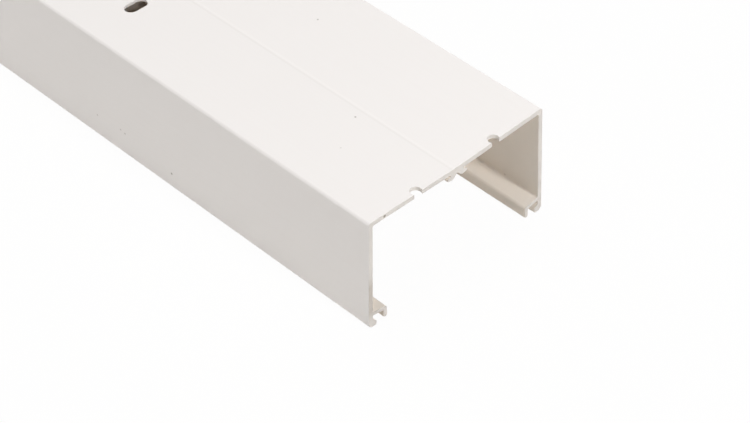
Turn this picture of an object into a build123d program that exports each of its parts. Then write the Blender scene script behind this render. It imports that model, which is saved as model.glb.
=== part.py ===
from build123d import *
import math
import os

os.makedirs("parts", exist_ok=True)

# Overall sizes of the stock in mm, the width taken over the free ends of the walls
length = 2000.0
width = 92.2
height = 51.0
web = 2.0
wall = 2.0

# How far each wall leans out from the web to its free end
toe_left = 1.45
toe_right = 1.1

# Hollow of the web between the flat lands that meet a wall
web_dip = 0.95
land = 8.1

# Radii of the outer and inner corners at the web
corner_r = 1.3
inner_r = 0.8

# Drilling line scored along the outer face of the web, a little off the middle
score_off = 1.65
score_w = 1.0
score_d = 0.1

# Snap bead on the free end of each wall, with a bevelled outer edge
bead_reach = 4.0
bead_flat = 1.8
bead_slope = 1.9
bead_r = 0.8
bevel_h = 1.3
bevel_w = 1.5
bevel_r = 0.8
foot_r = 0.5

# Ledge and hanging lip that close the cover groove
ledge_top = 7.1
ledge_drop = 1.2
ledge_t = 1.6
ledge_reach = 9.3
ledge_r = 1.2
lip = 1.7
lip_gap = 0.8
lip_r = 0.6
root_r = 0.9
groove_r = 0.5

# Back-to-back hook rail under the middle of the web
rail_stem = 7.0
rail_w = 10.0
rail_drop = 3.0
hook_t = 1.9
hook_rise = 0.5
hook_r = 0.5
vee_w = 4.4
vee_d = 2.2
vee_root = 0.3
vee_r = 1.2
rail_r = 0.4

# Fixing slots across the web and cut-open holes at the sawn ends
row_x = 20.0
slot_l = 10.4
slot_w = 5.8
end_margin = 156.2
stations = 12
notch_d = 4.6
notch_in = 1.2


def rounded_loop(points):
    """Closed wire through corner points (x, z, radius), each corner rounded as far as its edges allow."""
    n = len(points)
    starts = []
    ends = []
    mids = []
    for i in range(n):
        px, pz, r = points[i]
        ax, az, _ = points[i - 1]
        bx, bz, _ = points[(i + 1) % n]
        la = math.hypot(ax - px, az - pz)
        lb = math.hypot(bx - px, bz - pz)
        ux, uz = (ax - px) / la, (az - pz) / la
        vx, vz = (bx - px) / lb, (bz - pz) / lb
        half = math.acos(max(-1.0, min(1.0, ux * vx + uz * vz))) / 2
        if r <= 0 or half > 1.55:
            starts.append((px, pz))
            ends.append((px, pz))
            mids.append(None)
            continue
        reach = min(r / math.tan(half), 0.49 * la, 0.49 * lb)
        r = reach * math.tan(half)
        sx, sz = px + ux * reach, pz + uz * reach
        ex, ez = px + vx * reach, pz + vz * reach
        bl = math.hypot(ux + vx, uz + vz)
        d = r / math.sin(half) - r
        starts.append((sx, sz))
        ends.append((ex, ez))
        mids.append((px + (ux + vx) / bl * d, pz + (uz + vz) / bl * d))
    edges = []
    for i in range(n):
        if mids[i]:
            edges.append(Edge.make_three_point_arc(Vector(*starts[i]), Vector(*mids[i]), Vector(*ends[i])))
        j = (i + 1) % n
        edges.append(Edge.make_line(Vector(*ends[i]), Vector(*starts[j])))
    return Wire(edges)


def dip(x):
    """How far the web sinks at distance x from the middle."""
    return web_dip * max(0.0, 1 - x / land_x)


# Heights and distances read once for both halves of the section
land_x = width / 2 - land
under = height - web
rail_top = under - dip(rail_stem / 2)
hook_low = rail_top - rail_drop
hook_high = hook_low + hook_t
vee_top = hook_low + vee_d
neck = bead_flat + bead_slope
bead_x = width / 2 - bead_reach
lip_x = width / 2 - ledge_reach


def half_section(toe):
    """Half of the section for a wall with the given lean, from the land round to the gap in the rail."""

    def outer_x(z):
        return width / 2 - toe * z / height

    def inner_x(z):
        return outer_x(z) - wall

    ledge_root = inner_x(ledge_top)
    ledge_slope = ledge_drop / (ledge_root - lip_x)
    groove_x = inner_x(ledge_top - ledge_t)

    def ledge_low(x):
        return ledge_top - ledge_t - ledge_slope * (ledge_root - x)

    return [
        (land_x, height, 0.0),
        (outer_x(height), height, corner_r),
        (outer_x(bevel_h), bevel_h, bevel_r),
        (outer_x(0) - bevel_w, 0.0, foot_r),
        (bead_x, 0.0, bead_r),
        (bead_x, bead_flat, bead_r),
        (inner_x(neck), neck, groove_r),
        (groove_x, ledge_low(groove_x), groove_r),
        (lip_x + lip, ledge_low(lip_x + lip), groove_r),
        (lip_x + lip, lip_gap, lip_r),
        (lip_x, lip_gap, lip_r),
        (lip_x, ledge_top - ledge_drop, ledge_r),
        (ledge_root, ledge_top, root_r),
        (inner_x(under), under, inner_r),
        (land_x, under, 0.0),
        (rail_stem / 2, rail_top, rail_r),
        (rail_stem / 2, hook_high, rail_r),
        (rail_w / 2, hook_high, hook_r),
        (rail_w / 2, hook_low + hook_rise, hook_r),
        (vee_w / 2, hook_low, vee_r),
        (vee_root / 2, vee_top, vee_root),
    ]


# Whole section, the drilling line scored left of the middle
right_half = half_section(toe_right)
left_half = [(-x, z, r) for x, z, r in reversed(half_section(toe_left))]
score = [
    (-score_off - score_w / 2, height - dip(score_off + score_w / 2), 0.0),
    (-score_off, height - dip(score_off) - score_d, 0.0),
    (-score_off + score_w / 2, height - dip(score_off - score_w / 2), 0.0),
]
section = [(0.0, height - web_dip, 0.0)] + right_half + left_half + score

# Extrude the section along the length, centred on the origin
plane = Plane(origin=(0, length / 2, 0), x_dir=(1, 0, 0), z_dir=(0, -1, 0))
face = plane * Face(rounded_loop(section))
body = extrude(face, amount=length, dir=(0, -1, 0))

# Fixing slots in two rows, evenly spread between the end margins
pitch = (length - 2 * end_margin) / (stations - 1)
cut_low = under - web_dip - 1.0
cut_h = web + web_dip + 2.0
cutters = []
for i in range(stations):
    y = -length / 2 + end_margin + i * pitch
    for x in (-row_x, row_x):
        cutters.append(Pos(x, y, cut_low) * extrude(SlotOverall(slot_l, slot_w), amount=cut_h))

# Holes left open where the saw went through
for y in (-length / 2 + notch_in, length / 2 - notch_in):
    for x in (-row_x, row_x):
        cutters.append(Pos(x, y, cut_low + cut_h / 2) * Cylinder(notch_d / 2, cut_h))

body = body - cutters
base = body.solids()[0]
base.label = "raceway_base"
export_step(base, "parts/raceway_base.step")
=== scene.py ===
import math

import bmesh
import bpy
from mathutils import Euler, Matrix, Vector


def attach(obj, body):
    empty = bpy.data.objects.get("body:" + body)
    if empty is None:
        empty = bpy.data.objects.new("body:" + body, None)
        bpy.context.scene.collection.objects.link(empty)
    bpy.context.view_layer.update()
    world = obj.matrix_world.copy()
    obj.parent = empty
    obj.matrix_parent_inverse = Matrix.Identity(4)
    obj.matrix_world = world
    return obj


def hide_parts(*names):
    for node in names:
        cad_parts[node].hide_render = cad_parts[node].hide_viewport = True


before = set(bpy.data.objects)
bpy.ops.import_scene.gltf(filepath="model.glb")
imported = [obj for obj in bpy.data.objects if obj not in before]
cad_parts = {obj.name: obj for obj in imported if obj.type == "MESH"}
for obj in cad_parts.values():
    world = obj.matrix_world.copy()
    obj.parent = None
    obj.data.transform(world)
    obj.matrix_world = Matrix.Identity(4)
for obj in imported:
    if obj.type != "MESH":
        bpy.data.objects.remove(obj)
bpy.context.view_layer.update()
scene = bpy.context.scene

# Millimetres to metres
MM = 0.001

# Sizes of the stock in mm, the same as in the part's source, the width over the free ends of the walls
LENGTH, WIDTH, HEIGHT = 2000.0, 92.2, 51.0
WEB, WALL = 2.0, 2.0

# How far each wall leans out from the web to its free end
TOE_LEFT, TOE_RIGHT = 1.45, 1.1

# Hollow of the web between the flat lands, and the radii of its outer and inner corners
WEB_DIP, LAND = 0.95, 8.1
LAND_X = WIDTH / 2 - LAND
CORNER_R, INNER_R = 1.3, 0.8

# Drilling line scored along the outer face of the web
SCORE_X, SCORE_W, SCORE_D = -1.65, 1.0, 0.1

# Snap bead on the free end of each wall, with a bevelled outer edge
BEAD_REACH, BEAD_FLAT, BEAD_SLOPE, BEAD_R = 4.0, 1.8, 1.9, 0.8
BEVEL_H, BEVEL_W, BEVEL_R, FOOT_R = 1.3, 1.5, 0.8, 0.5

# Ledge and hanging lip that close the cover groove
LEDGE_TOP, LEDGE_DROP, LEDGE_T, LEDGE_REACH, LEDGE_R = 7.1, 1.2, 1.6, 9.3, 1.2
LIP, LIP_GAP, LIP_R, ROOT_R, GROOVE_R = 1.7, 0.8, 0.6, 0.9, 0.5

# Back-to-back hook rail under the middle of the web
RAIL_STEM, RAIL_W, RAIL_DROP, RAIL_R = 7.0, 10.0, 3.0, 0.4
HOOK_T, HOOK_RISE, HOOK_R = 1.9, 0.5, 0.5
VEE_W, VEE_D, VEE_ROOT, VEE_R = 4.4, 2.2, 0.3, 1.2

# Fixing slots across the web in two rows, and cut-open holes at the sawn ends
ROW_X, SLOT_L, SLOT_W, END_MARGIN, STATIONS = 20.0, 10.4, 5.8, 156.2, 12
NOTCH_D, NOTCH_IN = 4.6, 1.2

# Holes have a rounded upper edge, and break out wider below these depths
RIM_R, SLOT_BREAK, NOTCH_BREAK, BREAK_SLOPE = 0.15, 1.3, 1.75, 1.0

# How far a hole's cutter starts above the web and ends below it
CUT_ABOVE, CUT_BELOW = 0.1, 1.0

# Steps in a rounded corner, in half a hole's outline and down its rim, and bays along the length
CORNER_STEPS, HOLE_STEPS, RIM_STEPS, BAYS = 7, 16, 4, 24

# Angle that the rounding of a hole's rim turns through
RIM_TURN = math.radians(80)

# Shading breaks at edges sharper than this, and large faces lead it by this weight
SHARP_EDGE, FACE_WEIGHT = math.radians(40), 100

# Corners flatter than this half angle stay plain, and one rounding takes at most this share of an edge
FLAT_HALF_ANGLE, EDGE_SHARE = 1.55, 0.49

# Colours of the plastic, outside, inside with painted warm bounce light, on the walls of the holes and
# on the sawn ends
PVC = (0.873, 0.84, 0.818)
PVC_CLOUD = (0.869, 0.836, 0.814)
DIE_LINE = (0.85, 0.815, 0.785)
# Painted warm bounce light on the faces inside the channel, plain and mottled
INSIDE_PAINTED_BOUNCE = (0.888, 0.836, 0.772)
INSIDE_PAINTED_BOUNCE_MOTTLE = (0.866, 0.811, 0.745)
PUNCHED = (0.95, 0.925, 0.90)
SAWN_PALE = (0.762, 0.725, 0.687)
SAWN_DULL = (0.706, 0.672, 0.641)
SAW_MARK = (0.715, 0.677, 0.644)
LEFT_END_DARK = (0.568, 0.521, 0.478)
SPECK = (0.36, 0.32, 0.28)
# Painted shade and painted light for the two flanks of the drilling line
SCORE_PAINTED_SHADE = (0.80, 0.765, 0.738)
SCORE_PAINTED_LIGHT = (0.945, 0.91, 0.885)

# Colours of the floor and the surround
FLOOR = (0.9, 0.88, 0.85)
WHITE = (1.0, 1.0, 1.0)

# The painted warm bounce light inside fades out between these shares of the wall, and between these
# depths in the web in mm
PAINTED_BOUNCE_WALL = (0.65, 0.35)
PAINTED_BOUNCE_WEB = (1.8, 1.1)

# Painted shade and painted light beside the drilling line, for the shading of its two flanks: distance
# from it in mm, colour, strength; then where each fades
SCORE_PAINTED_SHADING = ((-0.9, SCORE_PAINTED_SHADE, 0.45), (0.35, SCORE_PAINTED_LIGHT, 0.24))
SCORE_CORE, SCORE_FADE = 0.1, 0.75

# Rise of a face's normal up to which it counts as the wall of a hole, and from which it doesn't
UPRIGHT, SLOPING = 0.2, 0.6

# A face this close to the end in mm is sawn
SAWN_SKIN = 0.02

# A darker band on the sawn end of the left wall: heights in mm where it comes and goes, and its inner
# limit
LEFT_END_DARK_START, LEFT_END_DARK_END, LEFT_END_DARK_X = (3.0, 9.0), (20.0, 25.5), -40.0

# Stray dark specks: x, distance from the near end and z in mm, radius in mm, strength
SPECKS = (
    (-6.5, 46.4, 50.22, 0.50, 0.75),
    (-46.0, 109.7, 7.9, 0.58, 0.92),
    (23.5, 98.6, 50.65, 0.50, 0.58),
    (-45.9, 137.4, 11.6, 0.55, 0.50),
    (-45.9, 140.0, 12.1, 0.52, 0.46),
    (-45.9, 154.4, 11.2, 0.52, 0.40),
    (-22.6, 37.3, 50.6, 0.35, 0.35),
    (43.9, 17.3, 8.0, 0.52, 0.34),
    (-36.8, 0.0, 50.0, 0.75, 1.00),
)

# A speck is full to the first share of its radius and gone at the second
SPECK_CORE, SPECK_EDGE = 0.5, 1.1

# Gloss of rigid PVC: refraction, roughness between and on the die lines, roughness of the saw cut
PVC_IOR, ROUGH_LOW, ROUGH_HIGH, ROUGH_SAWN = 1.53, 0.38, 0.50, 0.75

# Fine relief: strength, height in mm, and the share of the die lines and of the grain
RELIEF, RELIEF_H, RELIEF_LINES, RELIEF_GRAIN = 0.3, 0.04, 0.5, 0.3

# Floor: reach in metres, and the share of white that it shows
FLOOR_REACH, WHITE_SHARE = 6.0, 0.96

# The white starts this far inside the feet, and comes in between these distances from the ends, in mm
WHITE_FOOT, WHITE_END = 1.1, (100.0, 50.0)

# Soft lamps: name, place and point aimed at in metres, width and height in metres, power in watts
LAMPS = (
    ("top_light", (0.5, -0.5, 2.6), (0.0, -0.9, 0.0), (3.0, 3.0), 40.1),
    ("front_light", (0.062, -2.763, 1.648), (0.0, -1.0, 0.02), (0.35, 0.3), 35.5),
    ("left_fill", (-2.4, -0.4, 1.0), (0.0, -0.6, 0.02), (1.8, 1.2), 19.7),
    ("right_fill", (2.4, 0.0, 1.0), (0.0, 0.0, 0.02), (1.8, 1.2), 12.0),
    ("back_light", (-0.1, 2.64, 1.78), (0.0, 1.0, 0.02), (0.6, 0.5), 18.0),
)

# Camera: place in metres, turn in degrees, lens and sensor width in mm
CAMERA_PLACE = (-0.482103, -1.470238, 0.642462)
CAMERA_TURN = (47.6502, 1.18244, -44.22202)
CAMERA_LENS, CAMERA_SENSOR = 119.1, 36.0

# Light bounces, enough for the pale inside of the channel
BOUNCES, DIFFUSE_BOUNCES = 24, 16


def dip(x):
    """How far the web sinks at distance x from the middle."""
    return WEB_DIP * max(0.0, 1 - x / LAND_X)


def half_section(toe):
    """Half of the section as corner points (x, z, radius), for a wall with the given lean."""

    def outer_x(z):
        return WIDTH / 2 - toe * z / HEIGHT

    def inner_x(z):
        return outer_x(z) - WALL

    under = HEIGHT - WEB
    rail_top = under - dip(RAIL_STEM / 2)
    hook_low = rail_top - RAIL_DROP
    hook_high = hook_low + HOOK_T
    neck = BEAD_FLAT + BEAD_SLOPE
    bead_x = outer_x(0) - BEAD_REACH
    lip_x = outer_x(0) - LEDGE_REACH
    root = inner_x(LEDGE_TOP)
    slope = LEDGE_DROP / (root - lip_x)
    groove_x = inner_x(LEDGE_TOP - LEDGE_T)

    def ledge_low(x):
        return LEDGE_TOP - LEDGE_T - slope * (root - x)

    return [
        (LAND_X, HEIGHT, 0.0),
        (outer_x(HEIGHT), HEIGHT, CORNER_R),
        (outer_x(BEVEL_H), BEVEL_H, BEVEL_R),
        (outer_x(0) - BEVEL_W, 0.0, FOOT_R),
        (bead_x, 0.0, BEAD_R),
        (bead_x, BEAD_FLAT, BEAD_R),
        (inner_x(neck), neck, GROOVE_R),
        (groove_x, ledge_low(groove_x), GROOVE_R),
        (lip_x + LIP, ledge_low(lip_x + LIP), GROOVE_R),
        (lip_x + LIP, LIP_GAP, LIP_R),
        (lip_x, LIP_GAP, LIP_R),
        (lip_x, LEDGE_TOP - LEDGE_DROP, LEDGE_R),
        (root, LEDGE_TOP, ROOT_R),
        (inner_x(under), under, INNER_R),
        (LAND_X, under, 0.0),
        (RAIL_STEM / 2, rail_top, RAIL_R),
        (RAIL_STEM / 2, hook_high, RAIL_R),
        (RAIL_W / 2, hook_high, HOOK_R),
        (RAIL_W / 2, hook_low + HOOK_RISE, HOOK_R),
        (VEE_W / 2, hook_low, VEE_R),
        (VEE_ROOT / 2, hook_low + VEE_D, VEE_ROOT),
    ]


def whole_section():
    """Both halves as corner points, with the drilling line scored left of the middle."""
    right_half = half_section(TOE_RIGHT)
    left_half = [(-x, z, r) for x, z, r in reversed(half_section(TOE_LEFT))]
    score = []
    for dx, deep in ((-SCORE_W / 2, 0.0), (0.0, SCORE_D), (SCORE_W / 2, 0.0)):
        score.append((SCORE_X + dx, HEIGHT - dip(-SCORE_X - dx) - deep, 0.0))
    return [(0.0, HEIGHT - WEB_DIP, 0.0)] + right_half + left_half + score


def rounded(points):
    """Corner points turned into a closed line with each corner rounded."""
    line = []
    n = len(points)
    for i in range(n):
        px, pz, r = points[i]
        ax, az, _ = points[i - 1]
        bx, bz, _ = points[(i + 1) % n]
        la = math.hypot(ax - px, az - pz)
        lb = math.hypot(bx - px, bz - pz)
        ux, uz = (ax - px) / la, (az - pz) / la
        vx, vz = (bx - px) / lb, (bz - pz) / lb
        half = math.acos(max(-1.0, min(1.0, ux * vx + uz * vz))) / 2
        if r <= 0 or half > FLAT_HALF_ANGLE:
            line.append((px, pz))
            continue
        reach = min(r / math.tan(half), EDGE_SHARE * la, EDGE_SHARE * lb)
        r = reach * math.tan(half)
        bl = math.hypot(ux + vx, uz + vz)
        d = r / math.sin(half)
        cx, cz = px + (ux + vx) / bl * d, pz + (uz + vz) / bl * d
        a0 = math.atan2(pz + uz * reach - cz, px + ux * reach - cx)
        a1 = math.atan2(pz + vz * reach - cz, px + vx * reach - cx)
        turn = (a1 - a0 + math.pi) % (2 * math.pi) - math.pi
        for k in range(CORNER_STEPS + 1):
            a = a0 + turn * k / CORNER_STEPS
            line.append((cx + r * math.cos(a), cz + r * math.sin(a)))
    return line


def new_object(name, bm):
    """An object in the scene that holds the mesh."""
    mesh = bpy.data.meshes.new(name)
    bm.to_mesh(mesh)
    bm.free()
    obj = bpy.data.objects.new(name, mesh)
    scene.collection.objects.link(obj)
    return obj


def prism(name, line, stations):
    """A closed solid with the section line drawn at each station along Y, sizes in mm."""
    bm = bmesh.new()
    rings = [[bm.verts.new((x * MM, y * MM, z * MM)) for x, z in line] for y in stations]
    n = len(line)
    for a, b in zip(rings, rings[1:]):
        for i in range(n):
            j = (i + 1) % n
            bm.faces.new((a[i], a[j], b[j], b[i]))
    bm.faces.new(list(reversed(rings[0])))
    bm.faces.new(rings[-1])
    bmesh.ops.recalc_face_normals(bm, faces=bm.faces)
    return new_object(name, bm)


def punch(bm, cx, cy, long, wide, levels):
    """A slot-shaped cutter across the web, sizes in mm.

    Each level, from the top down, is a depth below the web's outer face and how much it widens there.
    """
    run = (long - wide) / 2
    rings = []
    for depth, grow in levels:
        r = wide / 2 + grow
        ring = []
        for side in (1, -1):
            for k in range(HOLE_STEPS + 1):
                if run == 0 and side == -1 and k in (0, HOLE_STEPS):
                    continue
                a = math.radians(-90 + 180 * k / HOLE_STEPS)
                x = cx + side * (run + r * math.cos(a))
                y = cy + side * r * math.sin(a)
                z = HEIGHT - dip(abs(x)) - depth
                ring.append(bm.verts.new((x * MM, y * MM, z * MM)))
        rings.append(ring)
    for upper, lower in zip(rings, rings[1:]):
        for i in range(len(upper)):
            j = (i + 1) % len(upper)
            bm.faces.new((lower[i], lower[j], upper[j], upper[i]))
    bm.faces.new(rings[0])
    bm.faces.new(list(reversed(rings[-1])))


def hole_levels(break_depth):
    """Levels of a hole's cutter: above the web, round the rim, down the wall, out through the inside."""
    rim = []
    for k in range(RIM_STEPS, -1, -1):
        a = RIM_TURN * k / RIM_STEPS
        rim.append((RIM_R * (1 - math.sin(a)), RIM_R * (1 - math.cos(a))))
    rim_depth, rim_grow = rim[0]
    above = (-CUT_ABOVE, rim_grow + (CUT_ABOVE + rim_depth) * math.tan(RIM_TURN))
    below = (WEB + CUT_BELOW, (WEB + CUT_BELOW - break_depth) * BREAK_SLOPE)
    return [above] + rim + [(break_depth, 0.0), below]


def hole_cutters():
    """The slots in two rows and the holes that the saw cut open, as one object."""
    bm = bmesh.new()
    pitch = (LENGTH - 2 * END_MARGIN) / (STATIONS - 1)
    for i in range(STATIONS):
        for x in (-ROW_X, ROW_X):
            punch(bm, x, -LENGTH / 2 + END_MARGIN + i * pitch, SLOT_L, SLOT_W, hole_levels(SLOT_BREAK))
    for y in (-LENGTH / 2 + NOTCH_IN, LENGTH / 2 - NOTCH_IN):
        for x in (-ROW_X, ROW_X):
            punch(bm, x, y, NOTCH_D, NOTCH_D, hole_levels(NOTCH_BREAK))
    bmesh.ops.recalc_face_normals(bm, faces=bm.faces)
    return new_object("cutters", bm)


def cut_holes(obj, cutters):
    """Take the cutters out of the object's mesh."""
    boolean = obj.modifiers.new("slots", "BOOLEAN")
    boolean.operation = "DIFFERENCE"
    boolean.solver = "EXACT"
    boolean.object = cutters
    bpy.context.view_layer.update()
    depsgraph = bpy.context.evaluated_depsgraph_get()
    fine = bpy.data.meshes.new_from_object(obj.evaluated_get(depsgraph))
    obj.modifiers.clear()
    obj.data = fine
    bpy.data.objects.remove(cutters)


def shade_evenly(obj):
    """Round faces shade smoothly, flat faces stay flat and sharp edges stay sharp."""
    obj.data.shade_smooth()
    obj.data.set_sharp_from_angle(angle=SHARP_EDGE)
    weighted = obj.modifiers.new("even_shading", "WEIGHTED_NORMAL")
    weighted.keep_sharp = True
    weighted.weight = FACE_WEIGHT


class Nodes:
    """Short calls that add nodes to a material or to the surround."""

    def __init__(self, tree):
        self.tree = tree

    def add(self, kind, **settings):
        """A new node with its settings."""
        new = self.tree.nodes.new(kind)
        for key, value in settings.items():
            setattr(new, key, value)
        return new

    def feed(self, socket, value):
        """An input set to a number or a colour, or linked to another node's output."""
        if isinstance(value, (int, float)):
            socket.default_value = value
        elif isinstance(value, tuple):
            socket.default_value = (*value, 1.0)
        else:
            self.tree.links.new(value, socket)

    def absolute(self, value):
        """The value without its sign."""
        new = self.add("ShaderNodeMath", operation="ABSOLUTE")
        self.feed(new.inputs[0], value)
        return new.outputs[0]

    def calc(self, operation, first, *others):
        """Values joined one after the other by the same operation."""
        for other in others:
            new = self.add("ShaderNodeMath", operation=operation)
            self.feed(new.inputs[0], first)
            self.feed(new.inputs[1], other)
            first = new.outputs[0]
        return first

    def ramp(self, value, low, high, at_low=0.0, at_high=1.0):
        """A soft step from one result at the low limit to another at the high limit."""
        new = self.add("ShaderNodeMapRange", interpolation_type="SMOOTHSTEP")
        self.feed(new.inputs["Value"], value)
        self.feed(new.inputs["From Min"], low)
        self.feed(new.inputs["From Max"], high)
        self.feed(new.inputs["To Min"], at_low)
        self.feed(new.inputs["To Max"], at_high)
        return new.outputs[0]

    def fade(self, value, low, high, strength=1.0):
        """A soft step down from the strength to nothing."""
        return self.ramp(value, low, high, at_low=strength, at_high=0.0)

    def noise(self, place, scale, detail, stretch=None):
        """Cloudy noise from about 0 to 1, its scale per metre."""
        if stretch:
            mapping = self.add("ShaderNodeMapping")
            mapping.inputs["Scale"].default_value = stretch
            self.feed(mapping.inputs["Vector"], place)
            place = mapping.outputs[0]
        new = self.add("ShaderNodeTexNoise")
        self.feed(new.inputs["Scale"], scale)
        self.feed(new.inputs["Detail"], detail)
        self.feed(new.inputs["Vector"], place)
        return new.outputs["Fac"]

    def mix(self, factor, first, second):
        """A colour between two."""
        new = self.add("ShaderNodeMix", data_type="RGBA")
        colours = [socket for socket in new.inputs if socket.type == "RGBA"]
        self.feed(new.inputs["Factor"], factor)
        self.feed(colours[0], first)
        self.feed(colours[1], second)
        return next(socket for socket in new.outputs if socket.type == "RGBA")

    def tint(self, ground, colour, noise, low, high, strength):
        """A ground colour with another laid over it where the noise is high."""
        return self.mix(self.ramp(noise, low, high, at_high=strength), ground, colour)

    def blend(self, factor, first, second):
        """A surface between two."""
        new = self.add("ShaderNodeMixShader")
        for socket, value in zip(new.inputs, (factor, first, second)):
            self.feed(socket, value)
        return new.outputs[0]

    def axes(self, vector):
        """The x, y and z of a vector."""
        new = self.add("ShaderNodeSeparateXYZ")
        self.feed(new.inputs[0], vector)
        return new.outputs

    def place(self):
        """The point on the object, in metres."""
        return self.add("ShaderNodeTexCoord").outputs["Object"]

    def geometry(self, name):
        """A fact about the face, by its name."""
        return self.add("ShaderNodeNewGeometry").outputs[name]

    def seen(self):
        """One where the background is looked at, zero where it would give light."""
        path = self.add("ShaderNodeLightPath")
        rays = ("Is Camera Ray", "Is Glossy Ray", "Is Transmission Ray")
        return self.calc("MAXIMUM", *[path.outputs[ray] for ray in rays])


def painted_bounce_mask(nodes, side, z):
    """One on the faces inside the channel, where warm bounce light is painted."""
    lean = nodes.calc("MULTIPLY", z, (TOE_LEFT + TOE_RIGHT) / 2 / HEIGHT)
    low, high = [(WIDTH / 2 - WALL * share) * MM for share in PAINTED_BOUNCE_WALL]
    between = nodes.fade(nodes.calc("ADD", side, lean), low, high)
    low, high = [(HEIGHT - depth) * MM for depth in PAINTED_BOUNCE_WEB]
    return nodes.calc("MULTIPLY", between, nodes.fade(z, low, high))


def rim_mask(nodes, side, z):
    """One on the walls of the holes in the web."""
    upright = nodes.fade(nodes.absolute(nodes.axes(nodes.geometry("Normal"))["Z"]), UPRIGHT, SLOPING)
    in_web = nodes.calc("GREATER_THAN", z, (HEIGHT - WEB - WEB_DIP) * MM)
    from_row = nodes.absolute(nodes.calc("SUBTRACT", side, ROW_X * MM))
    in_row = nodes.calc("LESS_THAN", from_row, SLOT_L * MM)
    return nodes.calc("MULTIPLY", upright, in_web, in_row)


def speck_mask(nodes, place):
    """Small soft-edged dots at the listed places."""
    dots = []
    for x, y, z, r, strength in SPECKS:
        gap = nodes.add("ShaderNodeVectorMath", operation="DISTANCE")
        nodes.feed(gap.inputs[0], place)
        gap.inputs[1].default_value = (x * MM, (y - LENGTH / 2) * MM, z * MM)
        dots.append(nodes.fade(gap.outputs["Value"], r * SPECK_CORE * MM, r * SPECK_EDGE * MM, strength))
    return nodes.calc("MAXIMUM", *dots)


def outer_colour(nodes, place, x, lines):
    """White with faint clouds and die lines, and painted shade and painted light on the two flanks of
    the drilling line.
    """
    cloud = nodes.noise(place, scale=14.0, detail=4.0)
    colour = nodes.tint(PVC, PVC_CLOUD, cloud, low=0.35, high=0.7, strength=1.0)
    colour = nodes.tint(colour, DIE_LINE, lines, low=0.4, high=0.7, strength=0.12)
    # Painted shade and painted light on the flanks of the drilling line
    for off, tint, strength in SCORE_PAINTED_SHADING:
        gap = nodes.absolute(nodes.calc("SUBTRACT", x, (SCORE_X + off) * MM))
        colour = nodes.mix(nodes.fade(gap, SCORE_CORE * MM, SCORE_FADE * MM, strength), colour, tint)
    return colour


def painted_bounce_colour(nodes, place):
    """Painted warm bounce light: a warmer white with a soft mottle."""
    mottle = nodes.noise(place, scale=70.0, detail=3.0)
    return nodes.tint(INSIDE_PAINTED_BOUNCE, INSIDE_PAINTED_BOUNCE_MOTTLE, mottle, low=0.45, high=0.7, strength=0.6)


def rim_colour(nodes, along):
    """Paler at the punched slots than at the holes that the saw cut open."""
    inboard = nodes.calc("LESS_THAN", along, (LENGTH / 2 - END_MARGIN / 2) * MM)
    return nodes.mix(inboard, SAWN_PALE, PUNCHED)


def sawn_colour(nodes, place, x, z, saw):
    """Patchy grey-white with saw marks, and darker low down on the end of the left wall."""
    patch = nodes.noise(place, scale=130.0, detail=2.0)
    sawn = nodes.tint(SAWN_DULL, SAWN_PALE, patch, low=0.35, high=0.65, strength=1.0)
    sawn = nodes.tint(sawn, SAW_MARK, saw, low=0.35, high=0.7, strength=0.35)
    starts = nodes.ramp(z, *[limit * MM for limit in LEFT_END_DARK_START])
    ends = nodes.fade(z, *[limit * MM for limit in LEFT_END_DARK_END])
    on_left = nodes.calc("LESS_THAN", x, LEFT_END_DARK_X * MM)
    blotch = nodes.noise(place, scale=260.0, detail=4.0)
    uneven = nodes.ramp(blotch, low=0.3, high=0.6, at_low=0.75)
    return nodes.mix(nodes.calc("MULTIPLY", starts, ends, on_left, uneven), sawn, LEFT_END_DARK)


def pvc():
    """Extruded white PVC: die lines along it, painted warm bounce light inside, pale holes, sawn ends,
    stray specks.
    """
    mat = bpy.data.materials.new("white_pvc")
    mat.use_nodes = True
    nodes = Nodes(mat.node_tree)
    bsdf = mat.node_tree.nodes["Principled BSDF"]
    place = nodes.place()
    x, y, z = nodes.axes(place)
    side = nodes.absolute(x)
    along = nodes.absolute(y)
    at_end = nodes.calc("GREATER_THAN", along, (LENGTH / 2 - SAWN_SKIN) * MM)
    lines = nodes.noise(place, scale=900.0, detail=3.0, stretch=(1.0, 0.004, 1.0))
    saw = nodes.noise(place, scale=1500.0, detail=3.0, stretch=(0.12, 1.0, 1.0))
    grain = nodes.noise(place, scale=3000.0, detail=2.0)

    colour = outer_colour(nodes, place, x, lines)
    # Painted warm bounce light on the faces inside the channel
    colour = nodes.mix(painted_bounce_mask(nodes, side, z), colour, painted_bounce_colour(nodes, place))
    colour = nodes.mix(rim_mask(nodes, side, z), colour, rim_colour(nodes, along))
    colour = nodes.mix(at_end, colour, sawn_colour(nodes, place, x, z, saw))
    colour = nodes.mix(speck_mask(nodes, place), colour, SPECK)
    nodes.feed(bsdf.inputs["Base Color"], colour)

    rough = nodes.ramp(lines, low=0.3, high=0.7, at_low=ROUGH_LOW, at_high=ROUGH_HIGH)
    rough = nodes.calc("MAXIMUM", rough, nodes.calc("MULTIPLY", at_end, ROUGH_SAWN))
    nodes.feed(bsdf.inputs["Roughness"], rough)
    nodes.feed(bsdf.inputs["IOR"], PVC_IOR)

    relief = nodes.calc(
        "ADD",
        nodes.calc("MULTIPLY", lines, RELIEF_LINES),
        nodes.calc("MULTIPLY", grain, RELIEF_GRAIN),
        nodes.calc("MULTIPLY", saw, at_end),
    )
    bump = nodes.add("ShaderNodeBump")
    nodes.feed(bump.inputs["Strength"], RELIEF)
    nodes.feed(bump.inputs["Distance"], RELIEF_H * MM)
    nodes.feed(bump.inputs["Height"], relief)
    nodes.feed(bsdf.inputs["Normal"], bump.outputs[0])
    return mat


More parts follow.
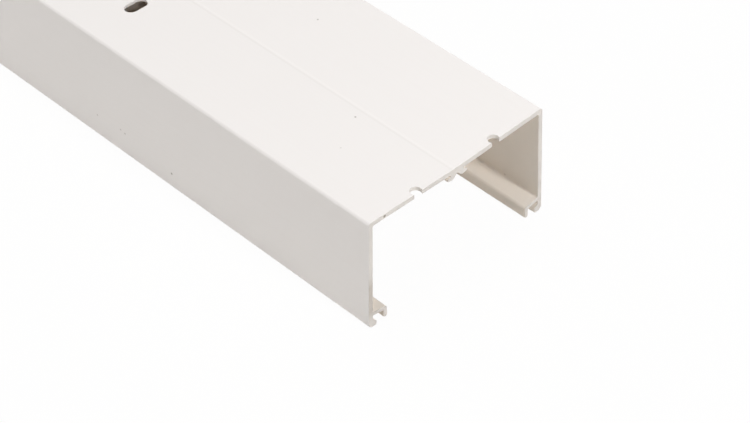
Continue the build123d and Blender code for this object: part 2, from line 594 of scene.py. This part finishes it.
def floor_material():
    """A pale floor that shows as white around the stock, keeps its shadow, and is clear from below."""
    mat = bpy.data.materials.new("floor")
    mat.use_nodes = True
    mat.node_tree.nodes.clear()
    nodes = Nodes(mat.node_tree)
    x, y, _ = nodes.axes(nodes.place())
    beside = nodes.calc("GREATER_THAN", nodes.absolute(x), (WIDTH / 2 - WHITE_FOOT) * MM)
    beyond = nodes.ramp(nodes.absolute(y), *[(LENGTH / 2 - inset) * MM for inset in WHITE_END])
    white = nodes.calc("MULTIPLY", nodes.seen(), nodes.calc("MAXIMUM", beside, beyond), WHITE_SHARE)
    pale = nodes.add("ShaderNodeBsdfDiffuse")
    nodes.feed(pale.inputs["Color"], FLOOR)
    glow = nodes.add("ShaderNodeEmission")
    nodes.feed(glow.inputs["Color"], WHITE)
    nodes.feed(glow.inputs["Strength"], 1.0)
    upper = nodes.blend(white, pale.outputs[0], glow.outputs[0])
    clear = nodes.add("ShaderNodeBsdfTransparent")
    out = nodes.add("ShaderNodeOutputMaterial")
    nodes.feed(out.inputs["Surface"], nodes.blend(nodes.geometry("Backfacing"), upper, clear.outputs[0]))
    return mat


def surround():
    """A surround that shows as white and gives no light of its own."""
    world = bpy.data.worlds.new("studio")
    world.use_nodes = True
    world.node_tree.nodes.clear()
    nodes = Nodes(world.node_tree)
    white = nodes.add("ShaderNodeBackground")
    nodes.feed(white.inputs["Color"], WHITE)
    nodes.feed(white.inputs["Strength"], nodes.seen())
    out = nodes.add("ShaderNodeOutputWorld")
    nodes.feed(out.inputs["Surface"], white.outputs[0])
    return world


def softbox(name, place, target, size, power):
    """A soft rectangular lamp aimed at a point."""
    lamp = bpy.data.lights.new(name, "AREA")
    lamp.shape = "RECTANGLE"
    lamp.size, lamp.size_y = size
    lamp.energy = power
    obj = bpy.data.objects.new(name, lamp)
    obj.location = place
    obj.rotation_euler = (Vector(target) - Vector(place)).to_track_quat("-Z", "Y").to_euler()
    scene.collection.objects.link(obj)


# The stock itself, drawn finer than the frame's own mesh
rings_at = [-LENGTH / 2 + LENGTH * i / BAYS for i in range(BAYS + 1)]
stock = prism("raceway_base_fine", rounded(whole_section()), rings_at)
cut_holes(stock, hole_cutters())
shade_evenly(stock)
stock.data.materials.append(pvc())
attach(stock, "root")
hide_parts("raceway_base")

# Floor and surround, white to the camera with the shadow kept
floor_mesh = bmesh.new()
bmesh.ops.create_grid(floor_mesh, x_segments=1, y_segments=1, size=FLOOR_REACH)
floor = new_object("floor", floor_mesh)
floor.data.materials.append(floor_material())
scene.world = surround()

for lamp_facts in LAMPS:
    softbox(*lamp_facts)

# Camera
camera_data = bpy.data.cameras.new("camera")
camera_data.sensor_fit = "HORIZONTAL"
camera_data.sensor_width = CAMERA_SENSOR
camera_data.lens = CAMERA_LENS
camera = bpy.data.objects.new("camera", camera_data)
camera_turn = Euler([math.radians(angle) for angle in CAMERA_TURN])
camera.matrix_world = Matrix.LocRotScale(Vector(CAMERA_PLACE), camera_turn, None)
scene.collection.objects.link(camera)
scene.camera = camera

scene.view_settings.view_transform = "Standard"
scene.cycles.max_bounces = BOUNCES
scene.cycles.diffuse_bounces = DIFFUSE_BOUNCES
